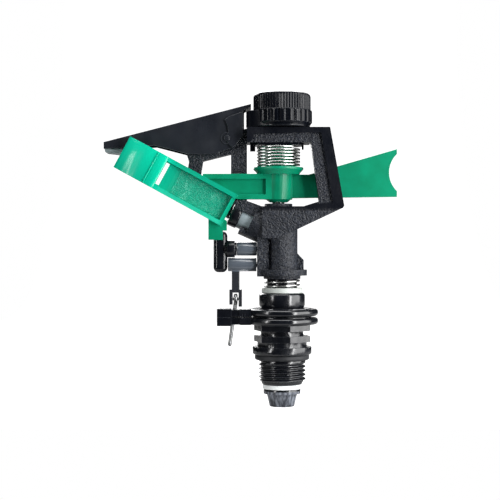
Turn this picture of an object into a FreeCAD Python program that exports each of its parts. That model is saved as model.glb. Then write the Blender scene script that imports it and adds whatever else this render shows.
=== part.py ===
"""Impact sprinkler on a part-circle bearing, as separate pieces.

Frame: millimetres, +Z up. The origin is on the bearing axis, at the shoulder where the inlet thread
starts. The nozzle points to -X, the tail of the drive arm to +X, and the open front is -Y.
"""
import FreeCAD, Part
import math
import os
import re
import Sketcher
from FreeCAD import Placement, Rotation, Vector

SIZES = {
    # bearing sleeve, which screws into the riser; heights run up from the thread shoulder
    "thread_radius": 10.478,
    "thread_root": 9.316,
    "thread_pitch": 1.814,
    "thread_length": 9.3,
    "groove_floor": 0.3,
    "groove_reach": 0.12,
    "flank_angle": 27.5,
    "neck_radius": 9.1,
    "neck_bottom": -10.9,
    "edge_break": 0.5,
    "gasket_seat_radius": 10.3,
    "gasket_inner": 10.55,
    "gasket_outer": 12.1,
    "gasket_height": 2.4,
    "gasket_round": 0.8,
    "flange_radius": 13.15,
    "flange_top": 5.8,
    "flange_chamfer": 0.6,
    "lower_core_radius": 11.0,
    "lower_hex_bottom": 8.0,
    "lower_hex_top": 10.7,
    "upper_core_radius": 9.5,
    "upper_hex_bottom": 12.9,
    "upper_hex_top": 15.4,
    "hex_corner_radius": 12.9,
    "hex_turn": 45,
    "collar_seat_radius": 9.0,
    "bell_bottom": 22.95,
    "bell_radius": 10.15,
    "bell_lip": 0.5,
    "bell_round": 1.3,
    "bell_top": 29.6,
    # the tube that carries the rotor, and its seals
    "tube_radius": 6.65,
    "tube_bore": 4.5,
    "tube_top": 39.6,
    "bearing_bore": 6.75,
    "seal_radius": 8.65,
    "seal_bottom": -12.9,
    "tube_flange_radius": 8.25,
    "tube_flange_bottom": -15.1,
    "tube_cone_radius": 6.8,
    "tube_end_radius": 5.45,
    "tube_end": -20.7,
    "washer_radius": 9.0,
    "washer_top": 31.9,
    "washer_round": 0.4,
    "bearing_coil_radius": 7.5,
    "bearing_wire": 1.0,
    "bearing_pitch": 1.7,
    # the two part-circle collars
    "collar_inner": 9.08,
    "collar_outer": 16.0,
    "collar_hub": 12.6,
    "collar_rim_half": 1.5,
    "collar_web_half": 1.8,
    "collar_gap": 0.08,
    "collar_arm_near": -8.0,
    "collar_arm_far": -4.2,
    "collar_strip_half": 1.35,
    "knuckle_left": -18.7,
    "knuckle_right": -13.8,
    "grip_left": -28.7,
    "grip_right": -22.5,
    "grip_near": -10.6,
    "collar_grip_half": 1.84,
    # sprinkler body: hub, flange and column
    "hub_radius": 8.2,
    "hub_bottom": 35.9,
    "body_flange_radius": 11.1,
    "body_flange_bottom": 37.4,
    "body_flange_top": 40.0,
    "column_left": -11.1,
    "column_right": 5.8,
    "column_half_depth": 6.2,
    "column_top": 58.0,
    "column_tube_radius": 6.9,
    "recess_left": -6.9,
    "recess_right": -4.9,
    "recess_back": -4.4,
    "recess_top": 53.5,
    "gusset_right": 9.6,
    "gusset_shoulder": 44.3,
    "gusset_top": 48.3,
    "gusset_half": 1.3,
    # sprinkler body: bridge that spans the arm
    "bridge_near": -8.5,
    "bridge_far": 8.5,
    "leg_plane": -0.5,
    "bridge_top": 102.7,
    "bridge_rim": 2.4,
    "bridge_under": 96.1,
    "bridge_right": 20.9,
    "leg_foot_right": 27.1,
    "leg_foot_top": 68.1,
    "leg_rim": 3.9,
    "web_depth": 1.3,
    "window_right_top": 12.5,
    "window_right_foot": 16.2,
    "window_foot": 70.1,
    "deck": 67.9,
    "deck_right": 9.3,
    "brace_foot": 5.3,
    "brace_bottom": 57.2,
    "brace_tip": 54.0,
    "brace_inner": -1.9,
    "left_leg_left": -22.7,
    "left_leg_right": -15.6,
    "left_leg_near": 0.2,
    "hood_left": -20.9,
    "hood_height": 70.6,
    "rail_far": 6.0,
    "rail_left": -42.3,
    "rail_right": -35.2,
    "rail_top": 94.5,
    "rail_under_left": 88.3,
    "rail_under_right": 91.7,
    "finger_foot": 77.5,
    "finger_lean": 0.9,
    "seat_boss_radius": 6.2,
    "seat_boss_top": 69.2,
    "knob_boss_radius": 5.0,
    "knob_boss_top": 108.5,
    # nozzle, on an axis that climbs away from the body
    "nozzle_rise": 24,
    "nozzle_root": 55.1,
    "port_radius": 7.3,
    "port_end": 15.0,
    "port_lip_end": 18.4,
    "port_lip_inner": 5.6,
    "insert_radius": 5.0,
    "insert_start": 7.0,
    "insert_end": 21.0,
    "insert_bore": 3.0,
    "tip_radius": 5.5,
    "tip_start": 20.4,
    "tip_face": 24.8,
    "tip_nose_radius": 3.0,
    "tip_end": 26.6,
    "jet_radius": 1.7,
    # drive arm and its bearing
    "arm_axis": -1.6,
    "axle_radius": 1.5,
    "axle_bottom": 63.0,
    "axle_top": 99.5,
    "axle_fit": 0.05,
    "bush_radius": 3.0,
    "bush_bottom": 70.2,
    "thrust_radius": 2.7,
    "arm_hub_radius": 6.2,
    "arm_bottom": 71.1,
    "arm_top": 82.3,
    "arm_near": -5.4,
    "arm_far": -1.2,
    "arm_flange": 2.1,
    "arm_web_depth": 1.6,
    "arm_left": -30.0,
    "under_disc_radius": 5.6,
    "under_disc_bottom": 69.9,
    "under_disc_small": 4.0,
    "saucer_radius": 11.1,
    "saucer_small": 9.3,
    "saucer_top": 85.3,
    "spool_radius": 6.0,
    "spool_top": 94.6,
    "tail_near": 0.2,
    "tail_far": 3.0,
    "tail_bottom": 71.7,
    "tail_break": 12.0,
    "tail_end": 51.2,
    "tail_end_top": 93.6,
    "tail_foot": 72.4,
    "notch_radius": 11.5,
    "notch_centre": 59.2,
    "notch_height": 83.2,
    # spoon, in its own frame: along from the nozzle end, across upwards, depth as in the main frame
    "spoon_rise": 28.7,
    "spoon_start_x": -23.4,
    "spoon_start_z": 66.1,
    "spoon_length": 54.0,
    "spoon_half": 7.7,
    "spoon_wall": 1.9,
    "spoon_near": -10.5,
    "spoon_far": -3.6,
    "spoon_floor_near": -8.0,
    "spoon_floor_far": -6.6,
    "spoon_floor_end": 27.0,
    "spoon_slot": 33.2,
    "spoon_slot_width": 1.8,
    "spoon_slot_half": 5.2,
    "spoon_bar": 40.0,
    "spoon_skin": 1.6,
    "spoon_tip_near": -3.9,
    "tang_left": -32.5,
    "tang_right": -24.4,
    "tang_rib": 1.8,
    "tang_bottom": 53.2,
    "tang_top": 64.0,
    "tang_near": -8.2,
    "tang_far": -6.6,
    "tang_back": -4.4,
    # arm return spring and its hanger
    "arm_coil_radius": 9.2,
    "arm_wire": 1.1,
    "arm_coil_pitch": 1.37,
    "arm_coil_bottom": 86.0,
    "arm_coil_turns": 6,
    "hanger_outer": 11.2,
    "hanger_inner": 6.4,
    "hanger_bottom": 95.0,
    "hook_bottom": 92.6,
    "hook_half": 1.3,
    # deflector flap
    "flap_near": -1.9,
    "flap_skin": 1.2,
    "flap_far": 12.0,
    "flap_tip": -79.2,
    "flap_tip_top": 96.6,
    "flap_tip_bottom": 93.7,
    "flap_slope": 14.5,
    "flap_roof_end": -13.8,
    "flap_belly_x": -56.5,
    "flap_belly": 95.2,
    "flap_drop_x": -41.8,
    "flap_drop": 91.4,
    "flap_keel_x": -31.2,
    "flap_rise_x": -21.8,
    "flap_rise": 94.1,
    "flap_back": -16.9,
    "flap_back_low": 101.5,
    "flap_floor_end": -69.0,
    "pivot_x": -24.5,
    "pivot_z": 98.3,
    "pivot_pin_radius": 1.2,
    "pivot_boss_radius": 2.6,
    "pivot_fit": 0.05,
    # deflector knob with its cam
    "knob_bottom": 102.8,
    "knob_skirt": 104.8,
    "knob_top": 118.1,
    "knob_base_radius": 13.5,
    "knob_crown_radius": 12.8,
    "knob_round": 1.6,
    "knob_step": 110.4,
    "knob_fit": 0.1,
    "knob_groove_radius": 0.45,
    "knob_rib_radius": 0.8,
    "cam_radius": 16.0,
    "cam_growth": 1.2,
    "cam_sweep": 100,
    "cam_sink": 1.2,
    "screw_radius": 1.5,
    "screw_head_radius": 3.0,
    "screw_head_height": 2.0,
    # reversing trip
    "hammer_left": -30.4,
    "hammer_right": -24.3,
    "hammer_top": 57.0,
    "hammer_bottom": 38.8,
    "hammer_near": -3.6,
    "hammer_far": 3.0,
    "hammer_round": 2.2,
    "hammer_axis": 49.2,
    "hammer_hub_radius": 3.0,
    "hammer_hub_right": -20.2,
    "post_radius": 3.0,
    "post_gap": 0.1,
    "hammer_pin_radius": 1.2,
    "lever_axis": 42.2,
    "barrel_radius": 3.0,
    "barrel_left": -24.0,
    "barrel_right": -11.4,
    "lever_y": -1.5,
    "lever_left": -22.3,
    "lever_right": -18.9,
    "lever_half_depth": 1.7,
    "clevis_left": -23.4,
    "clevis_right": -17.8,
    "clevis_top": 31.2,
    "clevis_bottom": 23.6,
    "clevis_cheek": 1.5,
    "clevis_floor": 29.8,
    "wire_pivot": 27.0,
    "wire_pin_radius": 0.7,
    "wire_radius": 0.9,
    "wire_lean": 8,
    "wire_end": 6.0,
    "toggle_coil_radius": 3.35,
    "toggle_wire": 0.5,
    # shared
    "slip": 0.25,
    "overshoot": 20.0,
    "boss_depth": 3.0,
    "pin_hole_depth": 4.0,
    "lip_share": 0.62,
    "flap_slant": 3.0,
}

TURN = 1

doc = FreeCAD.newDocument("sprinkler")
sheet = doc.addObject("Spreadsheet::Sheet", "sizes")
for row, (alias, number) in enumerate(SIZES.items(), start=1):
    sheet.set(f"A{row}", alias)
    sheet.set(f"B{row}", str(number))
    sheet.setAlias(f"B{row}", alias)
doc.recompute()


# ---- helpers: every size is a formula on the sheet's names ----

def linked(formula):
    """The formula as other objects read it, with each name pointing at the sheet."""
    return re.sub(r"\b(?!cos\b|sin\b|tan\b|deg\b)[a-z]\w*", r"sizes.\g<0>", formula)


def size(formula):
    """The number that a formula stands for now."""
    return float(sheet.evalExpression(formula))


def bind(thing, **formulas):
    for name, formula in formulas.items():
        thing.setExpression(name.replace("__", "."), linked(formula))
    return thing


def place(thing, x="0", y="0", z="0", rotation=None):
    if rotation is not None:
        thing.Placement = Placement(Vector(), rotation)
    return bind(thing, Placement__Base__x=x, Placement__Base__y=y, Placement__Base__z=z)


def sketch_on(body, role, offset="0"):
    plane = next(item for item in body.Origin.OriginFeatures if item.Role == role)
    sketch = body.newObject("Sketcher::SketchObject", "outline")
    sketch.AttachmentSupport = [(plane, "")]
    sketch.MapMode = "FlatFace"
    return bind(sketch, AttachmentOffset__Base__z=offset)


def pin_point(sketch, edge, end, point):
    """Hold one end of a sketch edge at a point given by two formulas."""
    for kind, formula in zip(("DistanceX", "DistanceY"), point):
        constraint = Sketcher.Constraint(kind, -1, 1, edge, end, size(formula))
        index = sketch.addConstraint(constraint)
        sketch.setExpression(f"Constraints[{index}]", linked(formula))


def draw_outline(sketch, points):
    """A closed outline of straight edges through the points."""
    places = [Vector(size(across), size(up), 0) for across, up in points]
    for index, start in enumerate(places):
        after = places[(index + 1) % len(places)]
        sketch.addGeometry(Part.LineSegment(start, after), False)
    for index, point in enumerate(points):
        sketch.addConstraint(Sketcher.Constraint("Coincident", index - 1 if index else len(points) - 1,
                                                 2, index, 1))
        pin_point(sketch, index, 1, point)
    return sketch


def turned(label, points, x="0", y="0", z="0", rotation=None):
    """A body turned about its own Z from a half outline of (radius, height) points."""
    body = doc.addObject("PartDesign::Body", label)
    sketch = draw_outline(sketch_on(body, "XZ_Plane"), points)
    feature = body.newObject("PartDesign::Revolution", "turning")
    feature.Profile = sketch
    feature.ReferenceAxis = (sketch, ["V_Axis"])
    feature.Angle = 360
    body.Tip = feature
    return place(body, x, y, z, rotation)


def prism(label, points, near, far):
    """A body padded along Y, from near to far, from an outline of (x, z) points."""
    body = doc.addObject("PartDesign::Body", label)
    sketch = draw_outline(sketch_on(body, "XZ_Plane", f"-({far})"), points)
    feature = body.newObject("PartDesign::Pad", "pad")
    feature.Profile = sketch
    bind(feature, Length=f"({far}) - ({near})")
    body.Tip = feature
    return body


def slab(label, points, bottom, top):
    """A body padded upwards from an outline of (x, y) points."""
    body = doc.addObject("PartDesign::Body", label)
    sketch = draw_outline(sketch_on(body, "XY_Plane", bottom), points)
    feature = body.newObject("PartDesign::Pad", "pad")
    feature.Profile = sketch
    bind(feature, Length=f"({top}) - ({bottom})")
    body.Tip = feature
    return body


def box(label, low, high):
    """A block between two corners, each three formulas."""
    block = doc.addObject("Part::Box", label)
    bind(block, Length=f"({high[0]}) - ({low[0]})", Width=f"({high[1]}) - ({low[1]})",
         Height=f"({high[2]}) - ({low[2]})")
    return place(block, *low)


ALONG_X = Rotation(Vector(0, 1, 0), 90)
ALONG_Y = Rotation(Vector(1, 0, 0), -90)
ALONG_NOZZLE = Rotation(Vector(0, 1, 0), size("nozzle_rise - 90"))


def rod(label, radius, length, x="0", y="0", z="0", rotation=None):
    """A round bar that starts at the point and runs along its rotated Z."""
    bar = doc.addObject("Part::Cylinder", label)
    bind(bar, Radius=radius, Height=length)
    return place(bar, x, y, z, rotation)


def cone(label, low_radius, high_radius, height, x, y, z):
    body = doc.addObject("Part::Cone", label)
    bind(body, Radius1=low_radius, Radius2=high_radius, Height=height)
    return place(body, x, y, z)


def fuse(label, *pieces):
    joined = doc.addObject("Part::MultiFuse", label)
    joined.Shapes = list(pieces)
    joined.Refine = True
    return joined


def cut(label, base, *tools):
    tool = tools[0] if len(tools) == 1 else fuse(label + "_tools", *tools)
    rest = doc.addObject("Part::Cut", label)
    rest.Base = base
    rest.Tool = tool
    doc.recompute()
    if rest.Shape.Volume >= base.Shape.Volume - 1e-6:
        raise ValueError(f"{label}: the cut takes nothing away")
    return rest


def common(label, base, tool):
    shared = doc.addObject("Part::Common", label)
    shared.Base = base
    shared.Tool = tool
    return shared


def round_circles(body, radius, rims):
    """Fillet the circular edges of a turned body at the given (radius, height) rims."""
    doc.recompute()
    base = body.Tip
    names = []
    for number, edge in enumerate(base.Shape.Edges, start=1):
        curve = edge.Curve
        if isinstance(curve, Part.Circle):
            for rim_radius, rim_height in rims:
                near = abs(curve.Radius - size(rim_radius)) < 1e-4
                if near and abs(curve.Center.z - size(rim_height)) < 1e-4:
                    names.append(f"Edge{number}")
    feature = body.newObject("PartDesign::Fillet", "rounding")
    feature.Base = (base, names)
    bind(feature, Radius=radius)
    body.Tip = feature
    return body


def coil(label, coil_radius, wire, pitch, height, x, z):
    """A helical spring of round wire about a vertical axis."""
    helix = doc.addObject("Part::Helix", label + "_path")
    bind(helix, Radius=coil_radius, Pitch=pitch, Height=height)
    helix.SegmentLength = TURN
    doc.recompute()
    section = doc.addObject("Part::Circle", label + "_section")
    bind(section, Radius=f"({wire}) / 2")
    place(section, x=coil_radius, rotation=Rotation(Vector(1, 0, 0), 90))
    spring = doc.addObject("Part::Sweep", label)
    spring.Sections = [section]
    spring.Spine = (helix, [f"Edge{i + 1}" for i in range(len(helix.Shape.Edges))])
    spring.Solid = True
    spring.Frenet = True
    return place(spring, x=x, z=z)


# ---- bearing: sleeve, gasket, collars ----

def thread_groove():
    """The V groove of the inlet thread, swept along its helix."""
    helix = doc.addObject("Part::Helix", "thread_path")
    bind(helix, Radius="thread_root", Pitch="thread_pitch", Height="thread_length + thread_pitch * 0.5")
    place(helix, z="-thread_length - thread_pitch")
    holder = doc.addObject("Sketcher::SketchObject", "thread_section")
    holder.Placement = Placement(Vector(), Rotation(Vector(1, 0, 0), 90))
    bind(holder, Placement__Base__z="-thread_length - thread_pitch")
    mouth = "thread_radius + groove_reach"
    half = size("groove_floor") / 2
    reach = size("thread_radius + groove_reach - thread_root")
    flare = half + reach * math.tan(math.radians(size("flank_angle")))
    corners = [("thread_root", -half), (mouth, -flare), (mouth, flare), ("thread_root", half)]
    draw_outline(holder, [(across, str(round(up, 4))) for across, up in corners])
    groove = doc.addObject("Part::Sweep", "thread_groove")
    groove.Sections = [holder]
    groove.Spine = (helix, ["Edge1"])
    groove.Solid = True
    groove.Frenet = True
    return groove


def hex_plate(label, bottom, top):
    plate = doc.addObject("Part::Prism", label)
    plate.Polygon = 6
    bind(plate, Circumradius="hex_corner_radius", Height=f"({top}) - ({bottom})")
    return place(plate, z=bottom, rotation=Rotation(Vector(0, 0, 1), size("hex_turn")))


def bearing_sleeve():
    outline = [
        ("bearing_bore", "neck_bottom"),
        ("neck_radius - edge_break", "neck_bottom"),
        ("neck_radius", "neck_bottom + edge_break"),
        ("neck_radius", "-thread_length - edge_break"),
        ("thread_radius - edge_break", "-thread_length"),
        ("thread_radius", "-thread_length + edge_break"),
        ("thread_radius", "0"),
        ("gasket_seat_radius", "0"),
        ("gasket_seat_radius", "gasket_height"),
        ("flange_radius - flange_chamfer", "gasket_height"),
        ("flange_radius", "gasket_height + flange_chamfer"),
        ("flange_radius", "flange_top"),
        ("lower_core_radius", "flange_top"),
        ("lower_core_radius", "lower_hex_bottom"),
        ("upper_core_radius", "lower_hex_top"),
        ("upper_core_radius", "upper_hex_bottom"),
        ("collar_seat_radius", "upper_hex_top"),
        ("collar_seat_radius", "bell_bottom"),
        ("bell_radius - bell_lip", "bell_bottom"),
        ("bell_radius", "bell_bottom + bell_lip * 3"),
        ("bell_radius", "bell_top"),
        ("bearing_bore", "bell_top"),
    ]
    core = turned("sleeve_core", outline)
    round_circles(core, "bell_round", [("bell_radius", "bell_top")])
    plates = [
        hex_plate("lower_hex", "lower_hex_bottom", "lower_hex_top"),
        hex_plate("upper_hex", "upper_hex_bottom", "upper_hex_top"),
    ]
    bore = rod("sleeve_bore", "bearing_bore", "bell_top", z="0")
    blank = cut("sleeve_blank", fuse("sleeve_body", core, *plates), bore)
    return cut("bearing_sleeve", blank, thread_groove())


def ring(label, inner, outer, bottom, top, rounding=None):
    body = turned(label, [(inner, bottom), (outer, bottom), (outer, top), (inner, top)])
    if rounding:
        round_circles(body, rounding, [(outer, bottom), (outer, top)])
    return body


def collar(label, middle):
    """A part-circle collar: a ring with a rounded rim, and an arm that ends in a finger grip."""
    rim = ring(label + "_rim", "collar_hub", "collar_outer", f"{middle} - collar_rim_half",
               f"{middle} + collar_rim_half", "collar_rim_half - 0.2")
    web = ring(label + "_web", "collar_inner", "collar_hub + 0.4", f"{middle} - collar_web_half",
               f"{middle} + collar_web_half")
    strip = box(label + "_strip", ("grip_right - 1", "collar_arm_near", f"{middle} - collar_strip_half"),
                ("-collar_hub", "collar_arm_far", f"{middle} + collar_strip_half"))
    knuckle = box(label + "_knuckle",
                  ("knuckle_left", "collar_arm_near - 0.6", f"{middle} - collar_rim_half"),
                  ("knuckle_right", "collar_arm_far + 0.4", f"{middle} + collar_rim_half"))
    grip = box(label + "_grip", ("grip_left", "grip_near", f"{middle} - collar_grip_half"),
               ("grip_right", "collar_arm_far", f"{middle} + collar_grip_half"))
    return fuse(label, rim, web, strip, knuckle, grip)


def rounded_box(label, low, high, radius):
    """A block with every edge rounded."""
    block = box(label + "_block", low, high)
    doc.recompute()
    rounded = doc.addObject("Part::Fillet", label)
    rounded.Base = block
    reach = size(radius)
    rounded.Edges = [(number, reach, reach) for number in range(1, 13)]
    return rounded


# ---- rotor: tube, washers, spring ----

def nipple_tube():
    outline = [
        ("tube_bore - 0.8", "tube_end"),
        ("tube_end_radius", "tube_end"),
        ("tube_cone_radius", "tube_flange_bottom"),
        ("tube_flange_radius", "tube_flange_bottom"),
        ("tube_flange_radius", "seal_bottom"),
        ("tube_radius", "seal_bottom"),
        ("tube_radius", "tube_top"),
        ("tube_bore", "tube_top"),
        ("tube_bore", "tube_flange_bottom"),
    ]
    return turned("nipple_tube", outline)


def bearing_spring():
    height = "hub_bottom - washer_top - bearing_wire - 0.1"
    return coil("bearing_spring", "bearing_coil_radius", "bearing_wire", "bearing_pitch", height,
                "0", "washer_top + bearing_wire / 2 + 0.05")


# ---- sprinkler body ----

def bridge():
    """The loop over the arm: right leg in front of the tail, left leg behind the arm."""
    front = prism("bridge_front", [
        ("left_leg_right", "bridge_top"),
        ("bridge_right", "bridge_top"),
        ("leg_foot_right", "leg_foot_top"),
        ("leg_foot_right - 0.6", "leg_foot_top - 0.9"),
        ("brace_foot", "brace_bottom"),
        ("brace_inner", "brace_tip"),
        ("column_left + 2.2", "brace_tip"),
        ("column_left + 2.2", "deck"),
        ("deck_right", "deck"),
        ("window_right_foot", "window_foot"),
        ("window_right_top", "bridge_under"),
        ("left_leg_right", "bridge_under"),
    ], "bridge_near", "leg_plane")
    rear = prism("bridge_rear", [
        ("left_leg_left", "bridge_under"),
        ("left_leg_left", "bridge_top - 1.6"),
        ("left_leg_right", "bridge_top"),
        ("window_right_top + 2", "bridge_top"),
        ("window_right_top", "bridge_under"),
    ], "leg_plane", "bridge_far")
    rear_deck = prism("rear_deck", [
        ("column_left + 2.2", "brace_tip"),
        ("column_left + 2.2", "deck"),
        ("deck_right", "deck"),
        ("deck_right + 1.5", "deck - 4"),
        ("brace_foot", "brace_bottom"),
        ("brace_inner", "brace_tip"),
    ], "leg_plane", "bridge_far - 1")
    left_leg = box("left_leg", ("left_leg_left", "left_leg_near", "hood_height - 8"),
                   ("left_leg_right", "bridge_far", "bridge_under + 0.5"))
    rail = prism("rail", [
        ("left_leg_left + 1", "bridge_top - 1.6"),
        ("pivot_x - pivot_boss_radius - 1", "pivot_z + pivot_boss_radius"),
        ("rail_left", "rail_top"),
        ("rail_left", "rail_under_left + 2.6"),
        ("rail_left + finger_lean", "rail_under_left - 0.4"),
        ("rail_left - finger_lean", "finger_foot"),
        ("rail_right - finger_lean * 2", "finger_foot"),
        ("rail_right", "rail_under_left"),
        ("left_leg_left + 1", "rail_under_right"),
    ], "left_leg_near", "rail_far")
    return [front, rear, rear_deck, left_leg, rail]


def bridge_recesses():
    """The sunk web inside the rim, on the front of the top band and of the right leg."""
    top = prism("top_recess", [
        ("left_leg_right + 1.5", "bridge_under - 1"),
        ("left_leg_right + 3.5", "bridge_top - bridge_rim - 0.6"),
        ("window_right_top - 3", "bridge_top - bridge_rim"),
        ("bridge_right - leg_rim", "bridge_top - bridge_rim"),
        ("leg_foot_right - leg_rim - 1", "leg_foot_top + 1.5"),
        ("window_right_foot - 1.2", "window_foot - 1.2"),
        ("window_right_top - 1", "bridge_under - 1"),
    ], "bridge_near - 1", "bridge_near + web_depth")
    return [top]


def body_column():
    hub = turned("body_hub", [
        ("0", "hub_bottom"),
        ("hub_radius", "hub_bottom"),
        ("hub_radius", "body_flange_bottom"),
        ("body_flange_radius", "body_flange_bottom"),
        ("body_flange_radius", "body_flange_top"),
        ("column_tube_radius", "body_flange_top"),
        ("column_tube_radius", "column_top"),
        ("0", "column_top"),
    ])
    side = box("column_side", ("column_left", "-column_half_depth", "body_flange_bottom - 0.4"),
               ("recess_right - 1", "column_half_depth", "column_top"))
    gusset = prism("gusset", [
        ("column_right - 2", "body_flange_top - 0.5"),
        ("gusset_right", "body_flange_top - 0.5"),
        ("gusset_right", "gusset_shoulder"),
        ("column_right", "gusset_top"),
        ("column_right - 2", "gusset_top"),
    ], "-gusset_half", "gusset_half")
    return [hub, side, gusset]


def nozzle_port():
    """The tube that climbs out to the nozzle, with lips above and below the open sides."""
    port = rod("port", "port_radius", "port_end", z="nozzle_root", rotation=ALONG_NOZZLE)
    lips = turned("port_lips", [
        ("port_lip_inner", "port_end - 1"),
        ("port_radius", "port_end - 1"),
        ("port_radius", "port_lip_end"),
        ("port_lip_inner", "port_lip_end"),
    ], z="nozzle_root", rotation=ALONG_NOZZLE)
    window = box("lip_window", ("hood_left - 20", "bridge_near - 9", "nozzle_root - 10"),
                 ("0", "-port_radius * lip_share", "hood_height + 20"))
    rear_window = box("rear_lip_window", ("hood_left - 20", "port_radius * lip_share", "nozzle_root - 10"),
                      ("0", "bridge_far + 9", "hood_height + 20"))
    lips = cut("trimmed_lips", lips, window, rear_window)
    hood = prism("hood", [
        ("hood_left", "hood_height - 4.5"),
        ("hood_left", "hood_height"),
        ("left_leg_right - 0.5", "hood_height"),
        ("column_left + 2.4", "deck"),
        ("column_left + 2.4", "deck - 8"),
        ("left_leg_right", "deck - 5"),
    ], "-column_half_depth + 1", "bridge_far")
    return [port, lips, hood]


def trip_bosses():
    """Two bosses on the left of the column that carry the trip's pins."""
    upper = rod("upper_boss", "post_radius + 0.6", "boss_depth", x="column_left - 0.01", y="lever_y",
                z="hammer_axis", rotation=ALONG_X)
    lower = rod("lower_boss", "barrel_radius + 0.8", "boss_depth", x="column_left - 0.01", y="lever_y",
                z="lever_axis", rotation=ALONG_X)
    return [upper, lower]


def sprinkler_body():
    seat = rod("seat_boss", "seat_boss_radius", "seat_boss_top - deck + 2", x="arm_axis", z="deck - 2")
    knob_boss = rod("knob_boss", "knob_boss_radius", "knob_boss_top - bridge_top + 1", z="bridge_top - 1")
    pieces = bridge() + body_column() + nozzle_port() + trip_bosses() + [seat, knob_boss]
    solid = fuse("body_solid", *pieces)
    recess = box("column_recess", ("recess_left", "-column_half_depth - 4", "body_flange_top"),
                 ("recess_right", "recess_back", "recess_top"))
    tube_hole = rod("tube_hole", "tube_radius", "tube_top - hub_bottom + 1", z="hub_bottom - 1")
    water_way = rod("water_way", "tube_bore", "nozzle_root - tube_top + 2", z="tube_top")
    port_way = rod("port_way", "tube_bore - 0.6", "port_lip_end", z="nozzle_root", rotation=ALONG_NOZZLE)
    insert_hole = turned("insert_hole", [("0", "insert_start"), ("insert_radius", "insert_start"),
                                         ("insert_radius", "tip_end + 9"), ("0", "tip_end + 9")],
                         z="nozzle_root", rotation=ALONG_NOZZLE)
    nozzle_room = turned("nozzle_room", [("0", "port_end"), ("tip_radius + slip", "port_end"),
                                         ("tip_radius + slip", "tip_end + 9"), ("0", "tip_end + 9")],
                         z="nozzle_root", rotation=ALONG_NOZZLE)
    axle_hole = rod("axle_hole", "axle_radius", "axle_top - axle_bottom", x="arm_axis", z="axle_bottom")
    screw_hole = rod("screw_hole", "screw_radius", "knob_boss_top - bridge_under - 4", z="bridge_under + 4.5")
    hammer_hole = rod("hammer_hole", "hammer_pin_radius", "pin_hole_depth", x="column_left - 0.5", y="lever_y",
                      z="hammer_axis", rotation=ALONG_X)
    lever_hole = rod("lever_hole", "hammer_pin_radius", "pin_hole_depth", x="column_left - 0.5", y="lever_y",
                     z="lever_axis", rotation=ALONG_X)
    flap_hole = rod("flap_hole", "pivot_pin_radius", "rail_far + 4", x="pivot_x", y="-2", z="pivot_z",
                    rotation=ALONG_Y)
    return cut("sprinkler_body", solid, *bridge_recesses(), recess, tube_hole, water_way, port_way,
               insert_hole, nozzle_room, axle_hole, screw_hole, hammer_hole, lever_hole, flap_hole)


# ---- nozzle ----

def nozzle_insert():
    outline = [
        ("insert_bore + 0.6", "insert_start"),
        ("insert_radius", "insert_start"),
        ("insert_radius", "tip_start"),
        ("insert_radius - 1", "tip_start"),
        ("insert_radius - 1", "insert_end + 1.5"),
        ("insert_bore", "insert_end + 1.5"),
        ("insert_bore", "insert_start + 4"),
    ]
    return turned("nozzle_insert", outline, z="nozzle_root", rotation=ALONG_NOZZLE)


def nozzle_tip():
    outline = [
        ("insert_radius - 1", "tip_start"),
        ("tip_radius", "tip_start"),
        ("tip_radius", "tip_face - 0.5"),
        ("tip_radius - 0.5", "tip_face"),
        ("tip_nose_radius", "tip_face"),
        ("tip_nose_radius - 0.3", "tip_end"),
        ("jet_radius", "tip_end"),
        ("jet_radius", "insert_end + 1.5"),
        ("insert_radius - 1", "insert_end + 1.5"),
    ]
    return turned("nozzle_tip", outline, z="nozzle_root", rotation=ALONG_NOZZLE)


# ---- drive arm ----

ALONG_SPOON = Rotation(Vector(0, 1, 0), size("spoon_rise") - 180)


def in_spoon_frame(thing):
    """Move a piece drawn with +X along the spoon and -Z across it, upwards, to the spoon's place."""
    doc.recompute()
    local = thing.Placement
    target = Placement(Vector(), ALONG_SPOON).multiply(local)
    thing.setExpression("Placement.Base.x", None)
    thing.setExpression("Placement.Base.y", None)
    thing.setExpression("Placement.Base.z", None)
    start = Vector(size("spoon_start_x"), 0, size("spoon_start_z"))
    thing.Placement = Placement(target.Base.add(start), target.Rotation)
    return thing


def spoon_skin():
    """The curved front panel of the spoon: an arc that bends from the slot back to the tip."""
    near = size("spoon_near")
    bar = Vector(size("spoon_slot + spoon_slot_width / 2"), near, 0)
    tip = Vector(size("spoon_length"), size("spoon_tip_near") - size("spoon_skin"), 0)
    crown = Vector(size("spoon_bar + 2"), near + 0.25, 0)
    depth = Vector(0, size("spoon_skin"), 0)
    outer = Part.Arc(bar, crown, tip).toShape()
    inner = Part.Arc(bar.add(depth), crown.add(depth), tip.add(depth)).toShape()
    ends = [Part.makeLine(bar, bar.add(depth)), Part.makeLine(tip, tip.add(depth))]
    wire = Part.Wire(Part.__sortEdges__([outer, inner, *ends]))
    half = size("spoon_half")
    wire.translate(Vector(0, 0, -half))
    panel = doc.addObject("Part::Feature", "spoon_panel")
    panel.Shape = Part.Face(wire).extrude(Vector(0, 0, 2 * half))
    return panel


def spoon_walls():
    """Upper and lower walls, whose depth follows the curved panel out to the tip."""
    walls = []
    for name, inner, outer in (("upper", "-spoon_half", "-spoon_half + spoon_wall"),
                               ("lower", "spoon_half - spoon_wall", "spoon_half")):
        body = slab(f"{name}_spoon_wall", [
            ("0", "spoon_near"),
            ("spoon_bar", "spoon_near + 0.2"),
            ("spoon_bar + 7", "spoon_near + 1.6"),
            ("spoon_length", "spoon_tip_near - spoon_skin"),
            ("spoon_length", "spoon_tip_near"),
            ("spoon_bar + 4", "spoon_far"),
            ("0", "spoon_far"),
        ], inner, outer)
        walls.append(body)
    return walls


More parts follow.
